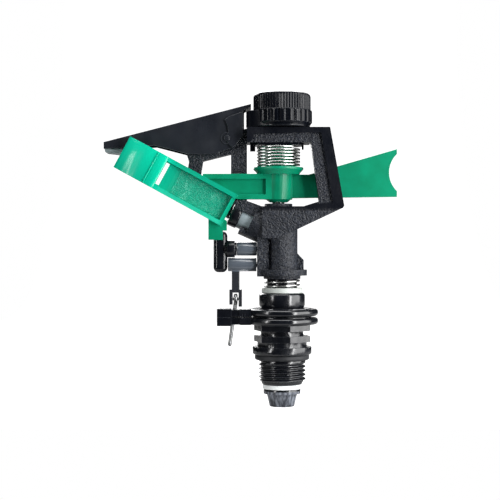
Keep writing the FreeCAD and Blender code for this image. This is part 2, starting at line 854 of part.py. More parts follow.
def spoon():
    floor = box("spoon_floor", ("0", "spoon_floor_near", "-spoon_half + 0.5"),
                ("spoon_floor_end", "spoon_floor_far", "spoon_half - 0.5"))
    end = box("spoon_end", ("0", "spoon_near + 0.4", "-spoon_half + 0.5"),
              ("1.6", "spoon_far", "spoon_half - 0.5"))
    ramp = slab("spoon_ramp", [
        ("spoon_floor_end - 1", "spoon_floor_near"),
        ("spoon_slot - spoon_slot_width / 2 - 0.8", "spoon_near + 1.2"),
        ("spoon_slot + spoon_slot_width + 1", "spoon_near + 0.1"),
        ("spoon_slot + spoon_slot_width + 1", "spoon_near + spoon_skin"),
        ("spoon_slot - spoon_slot_width / 2", "spoon_near + spoon_skin + 1.2"),
        ("spoon_floor_end - 1", "spoon_floor_far"),
    ], "-spoon_half + 0.5", "spoon_half - 0.5")
    solid = fuse("spoon_solid", *spoon_walls(), spoon_skin(), floor, end, ramp)
    slot = box("spoon_slot_cut",
               ("spoon_slot - spoon_slot_width / 2", "spoon_near - 2", "-spoon_slot_half"),
               ("spoon_slot + spoon_slot_width / 2", "spoon_far + 2", "spoon_slot_half"))
    return in_spoon_frame(cut("spoon", solid, slot))


def arm_beam():
    beam = prism("arm_beam", [
        ("arm_left", "arm_bottom + 4"),
        ("spoon_start_x + 4", "arm_bottom"),
        ("arm_axis", "arm_bottom"),
        ("arm_axis", "arm_top"),
        ("arm_left - 5", "arm_top"),
        ("arm_left - 5", "arm_top - 3"),
    ], "arm_near", "arm_far")
    sunk = prism("beam_recess", [
        ("arm_left - 9", "arm_top - arm_flange"),
        ("arm_axis - arm_hub_radius + 0.6", "arm_top - arm_flange"),
        ("arm_axis - arm_hub_radius + 0.6", "arm_bottom + arm_flange"),
        ("spoon_start_x + 4", "arm_bottom + arm_flange"),
        ("arm_left", "arm_bottom + arm_flange + 3.4"),
    ], "arm_near - 1", "arm_near + arm_web_depth")
    return cut("sunk_beam", beam, sunk)


def arm_tail():
    blade = prism("tail_blade", [
        ("arm_axis", "tail_bottom"),
        ("tail_end", "tail_foot"),
        ("tail_end", "tail_end_top"),
        ("tail_break", "arm_top"),
        ("arm_axis", "arm_top"),
    ], "tail_near", "tail_far")
    notch = rod("tail_notch", "notch_radius", "overshoot", x="notch_centre", y="-8", z="notch_height",
                rotation=ALONG_Y)
    return cut("tail", blade, notch)


def drive_arm():
    hub = rod("arm_hub", "arm_hub_radius", "arm_top - arm_bottom", x="arm_axis", z="arm_bottom")
    disc = cone("under_disc", "under_disc_small", "under_disc_radius", "arm_bottom - under_disc_bottom",
                "arm_axis", "0", "under_disc_bottom")
    saucer = turned("saucer", [
        ("0", "arm_top - 0.1"),
        ("saucer_small", "arm_top - 0.1"),
        ("saucer_small + 0.5", "arm_top + 0.8"),
        ("saucer_radius", "saucer_top - 0.9"),
        ("saucer_radius", "saucer_top"),
        ("spool_radius", "saucer_top"),
        ("spool_radius", "spool_top"),
        ("0", "spool_top"),
    ], x="arm_axis")
    tang = prism("tang", [
        ("tang_left", "tang_bottom"),
        ("tang_left", "tang_top + 2.5"),
        ("tang_right", "tang_top - 2.5"),
        ("tang_right", "tang_bottom + 4"),
        ("tang_right - 1.8", "tang_bottom + 4"),
        ("tang_right - 1.8", "tang_bottom"),
    ], "tang_near", "tang_far")
    rib = box("tang_rib_block", ("tang_left", "tang_far - 0.1", "tang_bottom"),
              ("tang_left + tang_rib", "tang_back", "tang_top + 2"))
    solid = fuse("arm_solid", hub, disc, saucer, arm_beam(), arm_tail(), spoon(), tang, rib)
    bore = rod("arm_bore", "bush_radius", "spool_top - under_disc_bottom + 2", x="arm_axis",
               z="under_disc_bottom - 1")
    return cut("drive_arm", solid, bore)


def arm_bush():
    return tube("arm_bush", "axle_radius + axle_fit", "bush_radius", "bush_bottom", "spool_top",
                "arm_axis")


def tube(label, inner, outer, bottom, top, x="0", y="0"):
    return turned(label, [(inner, bottom), (outer, bottom), (outer, top), (inner, top)], x=x, y=y)


def spring_hanger():
    """The seat under the bridge that holds the top end of the arm's spring."""
    disc = tube("hanger_disc", "hanger_inner", "hanger_outer", "hanger_bottom", "bridge_under", "arm_axis")
    hooks = [
        box("left_hook", ("arm_axis - hanger_outer - 1.4", "-hook_half", "hook_bottom"),
            ("arm_axis - arm_coil_radius - arm_wire", "hook_half", "bridge_under")),
        box("right_hook", ("arm_axis + arm_coil_radius + arm_wire", "-hook_half", "hook_bottom + 0.8"),
            ("arm_axis + hanger_outer", "hook_half", "bridge_under")),
    ]
    band = box("hanger_band", ("arm_axis - hanger_outer", "bridge_near + 1.5", "hanger_bottom - 1"),
               ("arm_axis + hanger_outer", "bridge_far - 1", "bridge_under + 1"))
    return fuse("spring_hanger", common("hanger_plate", disc, band), *hooks)


def arm_spring():
    return coil("arm_spring", "arm_coil_radius", "arm_wire", "arm_coil_pitch",
                "arm_coil_pitch * arm_coil_turns", "arm_axis", "arm_coil_bottom")


# ---- deflector ----

def flap_outline(inset):
    """The flap's side outline, drawn in by an amount so that it can also be the hollow."""
    roof = f"flap_roof_end - {inset} * 2"
    return [
        (f"flap_tip + {inset}", f"flap_tip_bottom - {inset} * flap_slant"),
        (f"flap_tip + {inset}", f"flap_tip_top - {inset}"),
        (roof, f"flap_tip_top - {inset} + (flap_roof_end - flap_tip) * tan(flap_slope * 1 deg)"),
        (roof, f"flap_tip_top - flap_skin - {inset} + (flap_roof_end - flap_tip) * tan(flap_slope * 1 deg)"),
        ("flap_back", "knob_step + 0.6"),
        ("flap_back", f"flap_back_low - {inset} * flap_slant"),
        ("flap_rise_x", f"flap_rise - {inset} * flap_slant"),
        ("flap_keel_x", f"flap_drop - 0.2 - {inset} * flap_slant"),
        ("flap_drop_x", f"flap_drop - {inset} * flap_slant"),
        ("flap_belly_x", f"flap_belly - {inset} * flap_slant"),
    ]


def deflector_flap():
    """A wedge-shaped hood: roof, two cheeks and a nose, open below and at the back."""
    shell = prism("flap_block", flap_outline("0"), "flap_near", "flap_far")
    hollow = prism("flap_hollow", flap_outline("flap_skin"), "flap_near + flap_skin", "flap_far - flap_skin")
    back_cut = box("flap_back_cut", ("flap_back - 4", "flap_near + flap_skin", "flap_rise - 9"),
                   ("flap_back + 2", "flap_far - flap_skin", "knob_step + 0.6"))
    room = rod("cam_room", "cam_radius + cam_growth + slip * 3", "knob_step - knob_bottom + 8",
               z="knob_bottom - 8")
    crown_room = rod("crown_room", "knob_base_radius + slip", "overshoot", z="knob_step + 0.5")
    nose_floor = box("nose_floor", ("flap_tip + 0.6", "flap_near + 0.2", "flap_tip_bottom"),
                     ("flap_floor_end", "flap_far - 0.2", "flap_tip_bottom + 1.2"))
    boss = rod("flap_boss", "pivot_boss_radius", "flap_skin + 0.5", x="pivot_x", y="flap_near - 0.5",
               z="pivot_z", rotation=ALONG_Y)
    hooded = cut("flap_shell", shell, hollow, back_cut, room, crown_room)
    pin_way = rod("flap_pin_way", "pivot_pin_radius + pivot_fit", "30", x="pivot_x", y="-10", z="pivot_z",
                  rotation=ALONG_Y)
    return cut("deflector_flap", fuse("flap_solid", hooded, nose_floor, boss), pin_way)


def flap_pin():
    return rod("flap_pin", "pivot_pin_radius", "flap_far - flap_near + 1.4", x="pivot_x",
               y="flap_near - 0.7", z="pivot_z", rotation=ALONG_Y)


def cam_outline():
    """A spiral lobe over cam_sweep degrees, easing back inside the knob's own radius."""
    steps = 72
    base = size("knob_base_radius - cam_sink")
    low = size("cam_radius")
    growth = size("cam_growth")
    sweep = size("cam_sweep")
    points = []
    for step in range(steps):
        turn = 360 * step / steps
        back = (180 - turn) % 360
        if back <= sweep:
            radius = low + growth * back / sweep
        elif back <= sweep + 40:
            share = (back - sweep) / 40
            radius = low + growth + (base - low - growth) * (1 - math.cos(math.pi * share)) / 2
        elif back <= 300:
            radius = base
        else:
            share = (back - 300) / 60
            radius = base + (low - base) * (1 - math.cos(math.pi * share)) / 2
        angle = math.radians(turn)
        points.append(Vector(radius * math.cos(angle), radius * math.sin(angle), 0))
    return points


def knob_cam():
    curve = Part.BSplineCurve()
    curve.interpolate(cam_outline(), PeriodicFlag=True)
    face = Part.Face(Part.Wire(curve.toShape()))
    cam = doc.addObject("Part::Feature", "knob_cam")
    height = size("knob_step - knob_bottom")
    cam.Shape = face.extrude(Vector(0, 0, height - 0.2))
    cam.Placement = Placement(Vector(0, 0, size("knob_bottom") + 0.1), Rotation())
    return cam


def knob_grooves(label, count, radius, rim, bottom, top):
    """Upright round grooves spaced evenly round the knob."""
    grooves = []
    for index in range(count):
        angle = 2 * math.pi * (index + 0.5) / count
        groove = doc.addObject("Part::Cylinder", f"{label}_{index}")
        bind(groove, Radius=radius, Height=f"({top}) - ({bottom})")
        place(groove, x=f"({rim}) * {math.cos(angle):.5f}", y=f"({rim}) * {math.sin(angle):.5f}", z=bottom)
        grooves.append(groove)
    return grooves


def deflector_knob():
    grip = turned("knob_grip", [
        ("0", "knob_skirt - 1.4"),
        ("knob_base_radius - 0.9", "knob_skirt - 1.4"),
        ("knob_base_radius", "knob_skirt"),
        ("knob_crown_radius", "knob_top"),
        ("0", "knob_top"),
    ])
    round_circles(grip, "knob_round", [("knob_crown_radius", "knob_top")])
    solid = fuse("knob_solid", grip, knob_cam())
    fine = knob_grooves("fine_groove", 48, "knob_groove_radius", "knob_crown_radius + 0.25",
                        "knob_step", "knob_top + 1")
    coarse = knob_grooves("coarse_groove", 24, "knob_rib_radius", "knob_base_radius + 0.35",
                          "knob_skirt", "knob_step")
    socket = rod("knob_socket", "knob_boss_radius + knob_fit", "knob_boss_top + 0.3 - knob_bottom + 1",
                 z="knob_bottom - 1")
    screw_way = rod("knob_screw_way", "screw_radius + knob_fit", "overshoot", z="knob_boss_top - 1")
    head_way = rod("knob_head_way", "screw_head_radius + 0.4", "overshoot",
                   z="knob_top - screw_head_height - 0.6")
    return cut("deflector_knob", solid, *fine, *coarse, socket, screw_way, head_way)


def knob_screw():
    shank = rod("screw_shank", "screw_radius", "knob_top - screw_head_height - 0.5 - bridge_under - 5",
                z="bridge_under + 5")
    head = rod("screw_head", "screw_head_radius", "screw_head_height",
               z="knob_top - screw_head_height - 0.5")
    slot = box("screw_slot", ("-screw_head_radius - 1", "-0.4", "knob_top - 1.4"),
               ("screw_head_radius + 1", "0.4", "knob_top + 1"))
    return cut("knob_screw", fuse("screw_blank", shank, head), slot)


# ---- reversing trip ----

def trip_hammer():
    plate = rounded_box("hammer_plate", ("hammer_left", "hammer_near", "hammer_bottom"),
                        ("hammer_right", "hammer_far", "hammer_top"), "hammer_round")
    hub = rod("hammer_hub", "hammer_hub_radius", "hammer_hub_right - hammer_right + 1", x="hammer_right - 1",
              y="lever_y", z="hammer_axis", rotation=ALONG_X)
    pin_way = rod("hammer_pin_way", "hammer_pin_radius + pivot_fit", "overshoot", x="hammer_left - 1",
                  y="lever_y", z="hammer_axis", rotation=ALONG_X)
    return cut("trip_hammer", fuse("hammer_solid", plate, hub), pin_way)


def hammer_post():
    """The collar that holds the hammer off the body, fixed on its pin."""
    collar_piece = turned("hammer_post", [
        ("hammer_pin_radius", "0"),
        ("post_radius", "0"),
        ("post_radius", "column_left - hammer_hub_right - post_gap * 2"),
        ("hammer_pin_radius", "column_left - hammer_hub_right - post_gap * 2"),
    ], x="hammer_hub_right + post_gap", y="lever_y", z="hammer_axis", rotation=ALONG_X)
    return collar_piece


def trip_pin(label, start, height):
    """A plain steel pin fixed in the body's boss."""
    return rod(label, "hammer_pin_radius", f"column_left + 3 - ({start})", x=start, y="lever_y",
               z=height, rotation=ALONG_X)


def trip_lever():
    barrel = rod("barrel", "barrel_radius", "barrel_right - barrel_left", x="barrel_left", y="lever_y",
                 z="lever_axis", rotation=ALONG_X)
    stem = box("lever_stem", ("lever_left", "lever_y - lever_half_depth", "clevis_floor"),
               ("lever_right", "lever_y + lever_half_depth", "lever_axis"))
    cheeks = [
        box("left_cheek", ("clevis_left", "lever_y - lever_half_depth", "clevis_bottom + 0.9"),
            ("clevis_left + clevis_cheek", "lever_y + lever_half_depth", "clevis_top")),
        box("right_cheek", ("clevis_right - clevis_cheek", "lever_y - lever_half_depth", "clevis_bottom"),
            ("clevis_right", "lever_y + lever_half_depth", "clevis_top")),
    ]
    crown = box("clevis_crown", ("clevis_left", "lever_y - lever_half_depth", "clevis_floor"),
                ("clevis_right", "lever_y + lever_half_depth", "clevis_top"))
    pin_way = rod("lever_pin_way", "hammer_pin_radius + pivot_fit", "overshoot", x="barrel_left - 2",
                  y="lever_y", z="lever_axis", rotation=ALONG_X)
    wire_way = rod("wire_pin_way", "wire_pin_radius", "overshoot", x="clevis_left - 1", y="lever_y",
                   z="wire_pivot", rotation=ALONG_X)
    return cut("trip_lever", fuse("lever_solid", barrel, stem, *cheeks, crown), pin_way, wire_way)


def wire_pin():
    return rod("wire_pin", "wire_pin_radius", "clevis_right - clevis_left", x="clevis_left", y="lever_y",
               z="wire_pivot", rotation=ALONG_X)


def trip_wire():
    """A steel wire with an eye on the clevis pin and a slight outward lean."""
    middle = "(clevis_left + clevis_right) / 2"
    block = rod("wire_eye_block", "wire_pin_radius + wire_radius * 2 + pivot_fit", "wire_radius * 2.4",
                x=middle + " - wire_radius * 1.2", y="lever_y", z="wire_pivot", rotation=ALONG_X)
    hole = rod("wire_eye_hole", "wire_pin_radius + pivot_fit", "wire_radius * 4",
               x=middle + " - wire_radius * 2", y="lever_y", z="wire_pivot", rotation=ALONG_X)
    eye = cut("wire_eye", block, hole)
    lean = Rotation(Vector(0, 1, 0), 180 + size("wire_lean"))
    start = "wire_pivot - wire_pin_radius - wire_radius - pivot_fit"
    shank = rod("wire_shank", "wire_radius", f"({start} - wire_end) / cos(wire_lean * 1 deg)",
                x=middle, y="lever_y", z=start, rotation=lean)
    return fuse("trip_wire", eye, shank)


def toggle_spring():
    """The over-centre spring, wound round the hammer's hub."""
    spring = coil("trip_spring", "toggle_coil_radius", "toggle_wire", "toggle_wire * 1.5",
                  "toggle_wire * 4.5", "hammer_right + toggle_wire / 2 + 0.05", "hammer_axis")
    bind(spring, Placement__Base__y="lever_y")
    spring.Placement = Placement(spring.Placement.Base, ALONG_X)
    return spring


NODES = {
    "bearing_sleeve": bearing_sleeve(),
    "inlet_gasket": ring("inlet_gasket", "gasket_inner", "gasket_outer", "0", "gasket_height",
                         "gasket_round"),
    "upper_collar": collar("upper_collar", "(bell_bottom - collar_gap - collar_web_half)"),
    "lower_collar": collar("lower_collar", "(upper_hex_top + collar_gap + collar_web_half)"),
    "nipple_tube": nipple_tube(),
    "lower_seal_washer": ring("lower_seal_washer", "tube_radius", "seal_radius", "seal_bottom",
                              "neck_bottom", "washer_round"),
    "upper_washer": ring("upper_washer", "tube_radius", "washer_radius", "bell_top", "washer_top",
                         "washer_round"),
    "bearing_spring": bearing_spring(),
    "sprinkler_body": sprinkler_body(),
    "nozzle_insert": nozzle_insert(),
    "nozzle_tip": nozzle_tip(),
    "arm_axle": rod("arm_axle", "axle_radius", "axle_top - axle_bottom", x="arm_axis", z="axle_bottom"),
    "thrust_bush": tube("thrust_bush", "axle_radius", "thrust_radius", "seat_boss_top",
                        "under_disc_bottom - 0.1", "arm_axis"),
    "drive_arm": drive_arm(),
    "arm_bush": arm_bush(),
    "spring_hanger": spring_hanger(),
    "arm_spring": arm_spring(),
    "deflector_flap": deflector_flap(),
    "flap_pin": flap_pin(),
    "deflector_knob": deflector_knob(),
    "knob_screw": knob_screw(),
    "trip_hammer": trip_hammer(),
    "hammer_post": hammer_post(),
    "hammer_pin": trip_pin("hammer_pin", "hammer_left", "hammer_axis"),
    "trip_spring": toggle_spring(),
    "trip_lever": trip_lever(),
    "lever_pin": trip_pin("lever_pin", "barrel_left - 0.1", "lever_axis"),
    "wire_pin": wire_pin(),
    "trip_wire": trip_wire(),
}

doc.recompute()


def check_document():
    """Stop before anything is written if an object failed or a sub-part isn't one sound shape."""
    for item in doc.Objects:
        if "Invalid" in item.State or "Error" in item.State:
            raise ValueError(f"{item.Label}: {item.State}")
    for name, node in NODES.items():
        shape = node.Shape
        if node.Label != name:
            raise ValueError(f"{name} is labelled {node.Label}")
        if shape.isNull() or not shape.isValid() or not shape.Solids:
            raise ValueError(f"{name}: no sound solid")
        print(f"{name}: {len(shape.Solids)} solid, {shape.Volume:.1f} mm3")


check_document()
os.makedirs("parts", exist_ok=True)
for name, node in NODES.items():
    node.Shape.exportStep(f"parts/{name}.step")
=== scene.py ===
"""Looks for the impact sprinkler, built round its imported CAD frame."""
import math

import bpy
import bmesh
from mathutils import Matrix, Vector


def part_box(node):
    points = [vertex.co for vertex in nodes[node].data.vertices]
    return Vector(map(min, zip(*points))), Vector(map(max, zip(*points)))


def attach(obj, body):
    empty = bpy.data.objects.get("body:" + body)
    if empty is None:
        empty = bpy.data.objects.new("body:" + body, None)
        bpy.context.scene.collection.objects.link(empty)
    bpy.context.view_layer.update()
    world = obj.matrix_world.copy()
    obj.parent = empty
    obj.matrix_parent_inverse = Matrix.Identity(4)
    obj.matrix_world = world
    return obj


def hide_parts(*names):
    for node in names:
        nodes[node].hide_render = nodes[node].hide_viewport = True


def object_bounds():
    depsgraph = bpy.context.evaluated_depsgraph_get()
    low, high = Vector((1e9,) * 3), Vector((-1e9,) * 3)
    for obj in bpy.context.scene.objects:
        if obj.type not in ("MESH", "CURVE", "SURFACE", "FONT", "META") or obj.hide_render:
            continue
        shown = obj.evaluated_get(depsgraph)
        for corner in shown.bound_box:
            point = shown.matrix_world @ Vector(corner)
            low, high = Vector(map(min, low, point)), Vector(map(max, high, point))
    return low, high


MM = 0.001
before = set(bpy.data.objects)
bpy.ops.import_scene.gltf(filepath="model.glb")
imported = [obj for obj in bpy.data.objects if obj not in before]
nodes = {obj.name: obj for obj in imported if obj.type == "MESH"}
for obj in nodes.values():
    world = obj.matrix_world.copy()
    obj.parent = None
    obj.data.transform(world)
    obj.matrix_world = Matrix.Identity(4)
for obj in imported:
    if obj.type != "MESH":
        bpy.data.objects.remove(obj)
cad_low, cad_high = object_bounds()
scene = bpy.context.scene


# ---- places, all in mm and taken from the boxes of the CAD nodes ----

def middle(node):
    """The middle of a node's box in mm."""
    low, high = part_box(node)
    return [(a + b) / 2 / MM for a, b in zip(low, high)]


def bound(node, axis, end):
    """One side of a node's box in mm: axis 0-2, end 0 low or 1 high."""
    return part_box(node)[end][axis] / MM


STEM_TOP = bound("trip_lever", 2, 0) + 15.6             # the trip's stem, under its barrel
REFLECTION_TOP = bound("nipple_tube", 2, 0) + 7.1              # the tube's tapered end, which gets a painted reflection below here
FLAP_TIP_LEVEL = bound("deflector_flap", 2, 0) + 2.7    # the flap's tip, seen from below
RIM_FRONT = bound("sprinkler_body", 1, 0) + 2.5933      # the face of the body's smooth rims
RIM_TOP = bound("sprinkler_body", 2, 1) - 42.0          # the rims are above this
GRIP_RIGHT = bound("upper_collar", 0, 0) + 6.2          # a stop collar's arm: grip to knuckle
KNUCKLE_RIGHT = bound("upper_collar", 0, 0) + 14.9
ARM_NEAR, ARM_FAR = bound("upper_collar", 1, 0) + 8.0, bound("upper_collar", 1, 0) + 11.8
SPOON_START = (bound("drive_arm", 0, 1) - 74.6, bound("drive_arm", 2, 0) + 12.9)
SPOON_RISE = math.radians(28.7)
SPOON_FLOOR = (1.5, 27.0)       # along the spoon: its floor, then its slot, then its crease
SPOON_SLOT = 33.2
SPOON_CREASE = 38.9
FLOOR_EDGE = (5.9, 5.6)         # across the spoon: where its floor meets the walls
CELL = 6.4                      # the length of a patch of painted glints on the floor
ARM_FRONT = bound("drive_arm", 1, 0)
FLOOR_FRONT = (ARM_FRONT + 2.2, ARM_FRONT + 2.6)
SPOON_BACK = (ARM_FRONT + 8.1, ARM_FRONT + 7.7)

# grain sizes in mm, shared by the moulded plastics, and the width of their painted edge highlight
SKIN_GRAIN, EDGE_HIGHLIGHT, RIPPLE = 0.5, 0.25, 5.0
COAT_ROUGHNESS = 0.12

WELD, MERGE = 0.002, 0.001      # vertices nearer than this are one

BLACK = dict(dark=(0.0025, 0.003, 0.0048), light=(0.005, 0.006, 0.009))
GREEN_DARK, GREEN_LIGHT = (0.0004, 0.165, 0.082), (0.0006, 0.215, 0.112)


# ---- node helpers ----

def new_node(tree, kind, inputs=None, **settings):
    made = tree.nodes.new("ShaderNode" + kind)
    for key, value in settings.items():
        setattr(made, key, value)
    for key, value in (inputs or {}).items():
        if isinstance(value, bpy.types.NodeSocket):
            tree.links.new(value, made.inputs[key])
        else:
            made.inputs[key].default_value = value
    return made


def noise_at(tree, where, size_mm, detail=3.0, rough=0.55, stretch=(1, 1, 1), distortion=0.0):
    """Noise whose grains are about size_mm across."""
    mapped = new_node(tree, "Mapping", {"Vector": where, "Scale": [s / (size_mm * MM) for s in stretch]})
    return new_node(tree, "TexNoise", {"Vector": mapped.outputs["Vector"], "Scale": 1.0, "Detail": detail,
                                       "Roughness": rough, "Distortion": distortion}).outputs["Fac"]


def spread(tree, value, low, high, to_low=0.0, to_high=1.0):
    """A value taken from one range to another, clamped at both ends."""
    return new_node(tree, "MapRange", {"Value": value, "From Min": low, "From Max": high,
                                       "To Min": to_low, "To Max": to_high}).outputs["Result"]


def times(tree, a, b):
    return new_node(tree, "Math", {0: a, 1: b}, operation="MULTIPLY").outputs[0]


def blend_colour(tree, factor, a, b):
    mixed = new_node(tree, "Mix", data_type="RGBA")
    for socket, value in ((mixed.inputs[0], factor), (mixed.inputs[6], a), (mixed.inputs[7], b)):
        if isinstance(value, bpy.types.NodeSocket):
            tree.links.new(value, socket)
        else:
            socket.default_value = value if isinstance(value, float) else (*value, 1.0)
    return mixed.outputs[2]


def bump_on(tree, height, depth_mm, strength=1.0, below=None):
    inputs = {"Height": height, "Distance": depth_mm * MM, "Strength": strength}
    if below is not None:
        inputs["Normal"] = below
    return new_node(tree, "Bump", inputs).outputs["Normal"]


def edge_mask(tree, radius_mm):
    """White on edges: where a rounded normal leaves the true one."""
    rounded = new_node(tree, "Bevel", {"Radius": radius_mm * MM}, samples=4)
    true = new_node(tree, "NewGeometry")
    dot = new_node(tree, "VectorMath", {0: rounded.outputs["Normal"], 1: true.outputs["Normal"]},
                   operation="DOT_PRODUCT")
    return spread(tree, dot.outputs["Value"], 0.995, 0.90)


def material(name):
    made = bpy.data.materials.new(name)
    made.use_nodes = True
    tree = made.node_tree
    shader = tree.nodes["Principled BSDF"]
    where = new_node(tree, "TexCoord").outputs["Object"]
    return made, tree, shader, where


def below_black(tree, shader, where):
    """The trip's stem and clevis are black; only the barrel above them is grey."""
    parts = new_node(tree, "SeparateXYZ", {"Vector": where})
    base = shader.inputs["Base Color"].links[0].from_socket
    lower = spread(tree, parts.outputs["Z"], STEM_TOP * MM, (STEM_TOP - 0.3) * MM)
    dark = blend_colour(tree, lower, base, (0.02, 0.022, 0.027))
    tree.links.new(dark, shader.inputs["Base Color"])


def painted_reflection_end(tree, shader, where):
    """The tube's tapered end gets pale upright streaks: a painted reflection of the white ground below it.
    """
    parts = new_node(tree, "SeparateXYZ", {"Vector": where})
    base = shader.inputs["Base Color"].links[0].from_socket
    # painted reflection: pale streaks stand in for the white ground mirrored in the glossy taper
    streak = noise_at(tree, where, 1.3, 3.0, stretch=(1, 1, 0.08))
    reflected_streaks = blend_colour(tree, spread(tree, streak, 0.4, 0.62), (0.035, 0.039, 0.05), (0.22, 0.24, 0.28))
    lower = spread(tree, parts.outputs["Z"], REFLECTION_TOP * MM, (REFLECTION_TOP - 0.5) * MM)
    pale = blend_colour(tree, lower, base, reflected_streaks)
    tree.links.new(pale, shader.inputs["Base Color"])


def moulded(name, dark, light, rough, grain_depth=0.01, blotch_mm=9.0, coat=0.0, rough_spread=0.1,
            scratch=0.0, specular=0.42, edge_highlight=None, extra=None):
    """Moulded plastic: mottled colour, uneven sheen, skin grain, faint scratches and a painted highlight
    on the edges.
    """
    made, tree, shader, where = material(name)
    blotch = noise_at(tree, where, blotch_mm, 4.0)
    fine = noise_at(tree, where, SKIN_GRAIN, 2.0)
    colour = blend_colour(tree, spread(tree, blotch, 0.32, 0.68), dark, light)
    # painted highlight: the edges are lightened as if they catch the light
    if edge_highlight:
        edges = times(tree, edge_mask(tree, EDGE_HIGHLIGHT), 0.55)
        colour = blend_colour(tree, edges, colour, edge_highlight)
    tree.links.new(colour, shader.inputs["Base Color"])
    sheen = noise_at(tree, where, blotch_mm * 0.45, 5.0, stretch=(1, 1, 0.5))
    tree.links.new(spread(tree, sheen, 0.3, 0.7, rough - rough_spread, rough + rough_spread),
                   shader.inputs["Roughness"])
    normal = bump_on(tree, fine, grain_depth)
    ripple = noise_at(tree, where, RIPPLE, 1.0)
    normal = bump_on(tree, ripple, 0.06, 0.6, normal)
    if scratch:
        streak = noise_at(tree, where, 0.35, 1.0, stretch=(0.12, 1, 1))
        lines = spread(tree, streak, 0.66, 0.72)
        normal = bump_on(tree, lines, scratch, 0.7, normal)
    tree.links.new(normal, shader.inputs["Normal"])
    shader.inputs["Specular IOR Level"].default_value = specular
    if coat:
        shader.inputs["Coat Weight"].default_value = coat
        shader.inputs["Coat Roughness"].default_value = COAT_ROUGHNESS
    if extra:
        extra(tree, shader, where)
    return made


def grained(name, dark, light, rough, grain_mm, depth, rim_mm, rim_top_mm, specular):
    """Spark-textured plastic; above rim_top_mm the skin in front of rim_mm stays smooth."""
    made, tree, shader, where = material(name)
    blotch = noise_at(tree, where, 6.0, 4.0)
    cell_at = new_node(tree, "Mapping", {"Vector": where, "Scale": [1 / (grain_mm * MM)] * 3})
    cells = new_node(tree, "TexVoronoi", {"Vector": cell_at.outputs["Vector"], "Scale": 1.0},
                     feature="SMOOTH_F1").outputs["Distance"]
    fine = noise_at(tree, where, grain_mm * 0.7, 3.0)
    height = new_node(tree, "Math", {0: cells, 1: fine}, operation="ADD").outputs[0]
    parts = new_node(tree, "SeparateXYZ", {"Vector": where})
    sunk = spread(tree, parts.outputs["Y"], (rim_mm + 0.1) * MM, (rim_mm + 0.5) * MM, 0.12, 1.0)
    lower = spread(tree, parts.outputs["Z"], (rim_top_mm + 1) * MM, (rim_top_mm - 1) * MM)
    sunk = new_node(tree, "Math", {0: sunk, 1: lower}, operation="MAXIMUM").outputs[0]
    height = times(tree, height, sunk)
    speck = spread(tree, height, 0.55, 1.3)
    colour = blend_colour(tree, speck, dark, light)
    shade = spread(tree, blotch, 0.3, 0.7, 0.0, 0.35)
    colour = blend_colour(tree, shade, colour, dark)
    tree.links.new(colour, shader.inputs["Base Color"])
    tree.links.new(spread(tree, blotch, 0.3, 0.7, rough - 0.08, rough + 0.08), shader.inputs["Roughness"])
    normal = bump_on(tree, height, depth)
    tree.links.new(normal, shader.inputs["Normal"])
    shader.inputs["Specular IOR Level"].default_value = specular
    return made


def metal(name, dark, light, rough):
    """Drawn steel: patchy tint and sheen over faint draw marks."""
    made, tree, shader, where = material(name)
    tint = noise_at(tree, where, 1.6, 4.0)
    colour = blend_colour(tree, spread(tree, tint, 0.3, 0.7), dark, light)
    tree.links.new(colour, shader.inputs["Base Color"])
    patches = noise_at(tree, where, 0.5, 3.0)
    tree.links.new(spread(tree, patches, 0.3, 0.7, rough - 0.07, rough + 0.1), shader.inputs["Roughness"])
    draw = noise_at(tree, where, 0.8, 1.0)
    tree.links.new(bump_on(tree, draw, 0.01, 0.5), shader.inputs["Normal"])
    shader.inputs["Metallic"].default_value = 1.0
    return made


